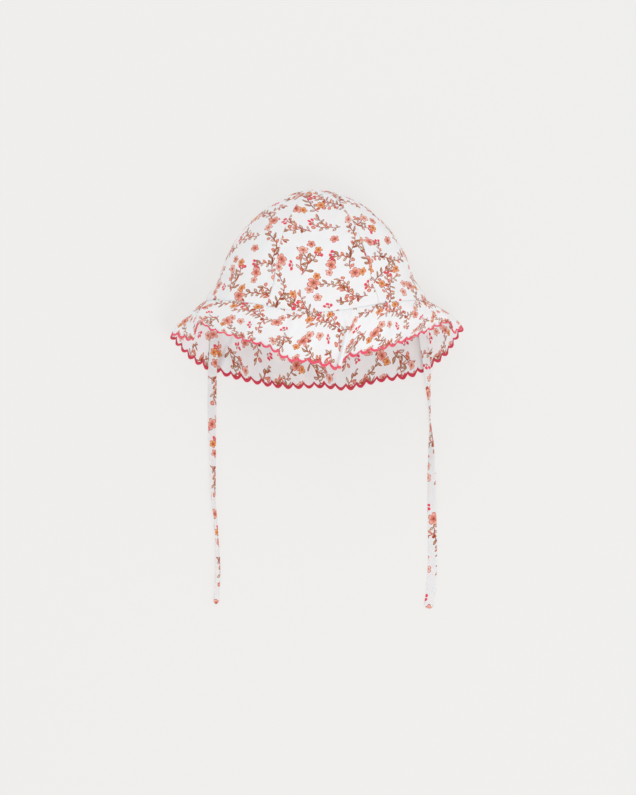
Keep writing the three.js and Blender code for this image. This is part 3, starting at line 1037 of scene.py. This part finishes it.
def make_gore(index, material):
    start = FIRST_GORE_SEAM + index * GORE_ANGLE
    fall = np.linspace(GORE_TOP, 1, GORE_ROWS + 1)[:, None]
    share = np.linspace(0, 1, GORE_COLUMNS + 1)[None, :]
    share = share - GORE_CROWDING * np.sin(share * 2 * math.pi)
    turn = start + share * GORE_ANGLE + 0 * fall
    fall = fall + 0 * turn
    points = crown(turn, fall)
    normals = grid_normals(points, False)
    steps = np.linalg.norm(np.diff(points, axis=1), axis=2)
    across = np.concatenate((np.zeros((len(points), 1)), np.cumsum(steps, axis=1)), axis=1)
    girth = across[:, -1:]
    to_seam = np.minimum(across, girth - across)
    steps = np.linalg.norm(np.diff(points, axis=0), axis=2)
    down = np.concatenate((np.zeros((1, points.shape[1])), np.cumsum(steps, axis=0)))
    to_hem = down[-1:] - down
    # The cloth puckers a little beside the seams, is gathered above the frill and creases softly all over
    side = np.round(across / np.maximum(girth, 1e-9))
    pucker = noise_at(np.stack((down, side), -1), PUCKER_CELL, index + 1)
    lift = seam_groove(to_seam, GORE_WELT) * (1 + PUCKER * pucker)
    arc = np.radians(turn) * HEM_GATHER_RADIUS
    gather = noise_at(np.stack((arc, down * HEM_GATHER_STRETCH), -1), HEM_GATHER_CELL, 21)
    lift += seam_groove(to_hem, HEM_WELT) * (1 + HEM_GATHER * gather)
    crease = CREASE * noise_at(points, CREASE_CELL, 31)
    crease = crease + FINE_CREASE * noise_at(points, FINE_CREASE_CELL, 32)
    lift += MM * crease * smoothstep(to_hem, 0, CREASE_START)
    points = settled(points + normals * lift[..., None])
    uv = np.stack((across - girth / 2, -down), axis=-1) / MM
    angle = math.radians(GORE_GRAINS[index])
    turned = np.array([[math.cos(angle), math.sin(angle)], [-math.sin(angle), math.cos(angle)]])
    uv = uv @ turned + np.array([37, 61]) * (index + 1)
    first_side = folded_back(to_seam) * (side == 0) * smoothstep(down, *ALLOWANCE_STARTS)
    thickness = CLOTH + SEAM_PLIES * np.maximum(first_side, folded_back(to_hem))
    gore = cloth_shell(f"{GORES[index]}_cloth", points, thickness, uv, False)
    gore.data.materials.append(material)
    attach(gore, "root")
    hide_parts(GORES[index])
    return gore


def scallop(run, whole):
    """How far the edge stands out at a run along it, from 0 at the points between scallops to 1."""
    count = round(whole / SCALLOP_PITCH)
    return np.abs(np.sin(math.pi * run / whole * count)) ** SCALLOP_ROUNDNESS


def frill_lift(points, places, reach, run):
    """How far the gathers and folds of the frill stand out of its smooth face."""
    from_seam = reach * FRILL_WIDTH
    gather = noise_at(np.stack((run + 0 * reach, reach * GATHER_DRIFT), -1), GATHER_CELL, 41)
    gather = 1 - np.minimum(np.abs(gather) * GATHER_SHARPNESS, 1)
    broad = noise_at(np.stack((run + 0 * reach, reach * BROAD_DRIFT), -1), BROAD_CELL, 42)
    crease = noise_at(points, FRILL_CREASE_CELL, 43)
    lift = seam_groove(from_seam, FRILL_WELT)
    lift += GATHER_HEIGHT * gather * (1 - np.exp(-from_seam / GATHER_START)) * np.exp(-reach / GATHER_REACH)
    lift += BROAD_HEIGHT * broad * smoothstep(reach, 0, BROAD_REACH)
    lift += FRILL_CREASE_HEIGHT * crease * smoothstep(reach, 0, FRILL_CREASE_REACH)
    turns = turns_at(places)
    for turn, width, rise, low, high in FOLDS:
        lift += rise * MM * np.exp(-(((turns - turn) / width) ** 2)) * smoothstep(reach, low, high)
    return lift


def frill_grid(places, reach, run):
    points = frill(places, reach)
    lift = frill_lift(points, places, reach, run)
    points = settled(points + grid_normals(points, True) * lift[..., None])
    # Where it lies on the floor, its gathers can only stand up
    lying = 1 - smoothstep(points[..., 2], *LYING)
    across = noise_at(np.stack((run + 0 * reach, reach * RIPPLE_DRIFT), -1), RIPPLE_CELL, 44)
    ripple = np.maximum(across + 0.1, 0) ** 1.5 * smoothstep(reach, 0, RIPPLE_REACH) * (1 - 0.4 * reach)
    points[..., 2] += RIPPLE * ripple * lying
    return points


def make_frill(material, edging):
    places, whole = even_places(FRILL_COLUMNS)
    run = np.arange(FRILL_COLUMNS) / FRILL_COLUMNS * whole
    out = (scallop(run, whole) - 0.5) * SCALLOP_DEPTH - EDGING_OVERLAP * EDGING_WIDTH
    rows = np.linspace(0, 1, FRILL_ROWS + 1) ** FRILL_ROW_CROWDING
    reach = rows[:, None] * (1 + out / FRILL_WIDTH)[None, :]
    points = frill_grid(places[None, :] + 0 * reach, reach, run[None, :])
    cloth_length = whole * FRILL_FULLNESS
    repeats = round(cloth_length / MM / (REPEAT * CHART_UNIT))
    u = np.linspace(0, repeats * REPEAT * CHART_UNIT, FRILL_COLUMNS + 1)[None, :] + 0 * rows[:, None]
    v = -rows[:, None] * FRILL_WIDTH / MM + 0 * u + FRILL_CUT
    turns = turns_at(places)
    hem = crown(np.stack((turns, turns)), np.array([[HEM_BAND_FALL], [1.0]]) + 0 * turns)
    thickness = CLOTH + SEAM_PLIES * folded_back(reach * FRILL_WIDTH)
    uv = np.stack((v, u), axis=-1)
    cloth = cloth_shell("frill_cloth", points, thickness, uv, True, grid_normals(hem, True)[1])
    cloth.data.materials.append(material)
    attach(cloth, "root")
    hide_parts("frill_brim")


def make_edging(material):
    places, whole = even_places(EDGING_STEPS)
    run = np.arange(EDGING_STEPS) / EDGING_STEPS * whole
    out = (scallop(run, whole) - 0.5) * SCALLOP_DEPTH / FRILL_WIDTH
    half = EDGING_WIDTH / 2 / FRILL_WIDTH
    reach = 1 + np.stack((out - half, out, out + half))
    band = frill_grid(places[None, :] + 0 * reach, reach, run[None, :])
    normal = grid_normals(band, True)[1]
    outward = (band[2] - band[0]) / 2
    angle = np.arange(EDGING_SIDES) / EDGING_SIDES * 2 * math.pi
    middle = band[1] - normal * CLOTH / 2
    rings = (
        middle[:, None]
        + outward[:, None] * np.cos(angle)[None, :, None]
        + (normal * EDGING_THICKNESS / 2)[:, None] * np.sin(angle)[None, :, None]
    )
    rings[..., 2] = np.maximum(rings[..., 2], 0)
    along, around = np.meshgrid(np.arange(EDGING_STEPS + 1), np.arange(EDGING_SIDES + 1), indexing="ij")
    uv = np.stack((along / EDGING_STEPS * round(whole / MM), around * EDGING_UV_STEP), axis=-1)
    edging = tube("edging_stitches", rings, uv, closed=True)
    edging.data.materials.append(material)
    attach(edging, "root")
    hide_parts("scalloped_edging")
    return edging


make_camera()
# The ties get a darker copy of the printed cotton: painted shade
shaded_tie_cotton = make_cotton("shaded_tie_cotton", TIE_SHADED_WHITES)
for tie_side in TIES:
    make_tie(tie_side, shaded_tie_cotton)
cotton = make_cotton("printed_cotton", CLOTH_WHITES)
gore_cloths = [make_gore(gore_index, cotton) for gore_index in range(len(GORES))]
make_frill(cotton, make_edging(make_edging_thread()))
make_floor()
make_lights()
